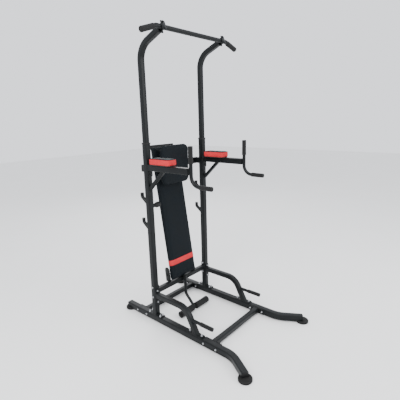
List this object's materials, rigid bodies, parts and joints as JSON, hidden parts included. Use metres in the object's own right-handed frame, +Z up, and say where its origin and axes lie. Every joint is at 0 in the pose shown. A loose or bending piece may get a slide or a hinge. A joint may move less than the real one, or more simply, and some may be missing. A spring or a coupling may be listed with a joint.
{
  "type": "power tower",
  "caption": "Free-standing pull-up and dip tower with bent telescoping posts, padded arm and back rests, bowed braces and a sit-up bench folded up between the posts.",
  "frame": {"origin": "on the floor, at the centre of the whole machine's footprint", "axes": "+Z up, -Y towards the front, the side the user faces, +X to the right when looking along +Y"},
  "size_m": [0.9814, 1.3461, 2.2092],
  "materials": {
    "steel": "satin black powder coat",
    "zinc": "bright zinc plate",
    "rubber": "matt black",
    "foam": "matt black foam",
    "vinyl": "black grained vinyl",
    "red_vinyl": "coral red grained vinyl",
    "plastic": "black moulded",
    "board": "black painted board"
  },
  "bodies": {
    "stand": {"arch_brace_left": "steel", "arch_brace_right": "steel", "arm_pad_board_left": "board", "arm_pad_board_right": "board", "arm_pad_left": "red_vinyl", "arm_pad_right": "red_vinyl", "arm_strut_left": "steel", "arm_strut_right": "steel", "back_crossbar": "steel", "back_pad": "vinyl", "back_pad_board": "board", "back_pad_bracket": "steel", "base_rail_left": "steel", "base_rail_right": "steel", "crossbar_front": "steel", "crossbar_middle": "steel", "crossbar_rear": "steel", "dip_arm_left": "steel", "dip_arm_right": "steel", "dip_handle_left": "steel", "dip_handle_right": "steel", "forward_grip_left": "foam", "forward_grip_right": "foam", "front_foot_left": "rubber", "front_foot_right": "rubber", "hinge_pin": "zinc", "hinge_plate_left": "steel", "hinge_plate_right": "steel", "hook_high_left": "steel", "hook_high_right": "steel", "hook_low_left": "steel", "hook_low_right": "steel", "knob_bush": "steel", "lower_post_left": "steel", "lower_post_right": "steel", "peg_grip_left": "foam", "peg_grip_right": "foam", "rear_foot_left": "rubber", "rear_foot_right": "rubber", "telescope_bush_left": "plastic", "telescope_bush_right": "plastic", "upright_grip_left": "foam", "upright_grip_right": "foam"},
    "upper_frame": {"upper_post_left": "steel", "bar_clamp_left": "steel", "bar_grip_left": "foam", "upper_post_right": "steel", "bar_clamp_right": "steel", "bar_grip_right": "foam", "pull_up_bar": "steel"},
    "bench": {"bench_frame": "steel", "bench_board": "board", "bench_pad": "vinyl", "bench_band": "red_vinyl", "bench_t_foot": "steel", "leg_hold": "steel"},
    "roller_left": {"foam_roller_left": "foam"},
    "roller_right": {"foam_roller_right": "foam"},
    "knob": {"lock_knob": "plastic"}
  },
  "joints": [
    {"name": "upper_frame_slide", "type": "slide", "parent": "stand", "child": "upper_frame", "axis": [0, 0, 1], "range_m": [-0.3, 0.05]},
    {"name": "bench_fold", "type": "hinge", "parent": "stand", "child": "bench", "pos_m": [0, 0.325, 0.335], "axis": [-1, 0, 0], "range_deg": [0, 98]},
    {"name": "roller_left_spin", "type": "hinge", "parent": "bench", "child": "roller_left", "pos_m": [0, 0.16745, 0.03204], "axis": [1, 0, 0], "continuous": true},
    {"name": "roller_right_spin", "type": "hinge", "parent": "bench", "child": "roller_right", "pos_m": [0, 0.16745, 0.03204], "axis": [1, 0, 0], "continuous": true},
    {"name": "lock_knob_pull", "type": "slide", "parent": "stand", "child": "knob", "axis": [1, 0, 0], "range_m": [0, 0.012], "stiffness_N_per_m": 800}
  ]
}
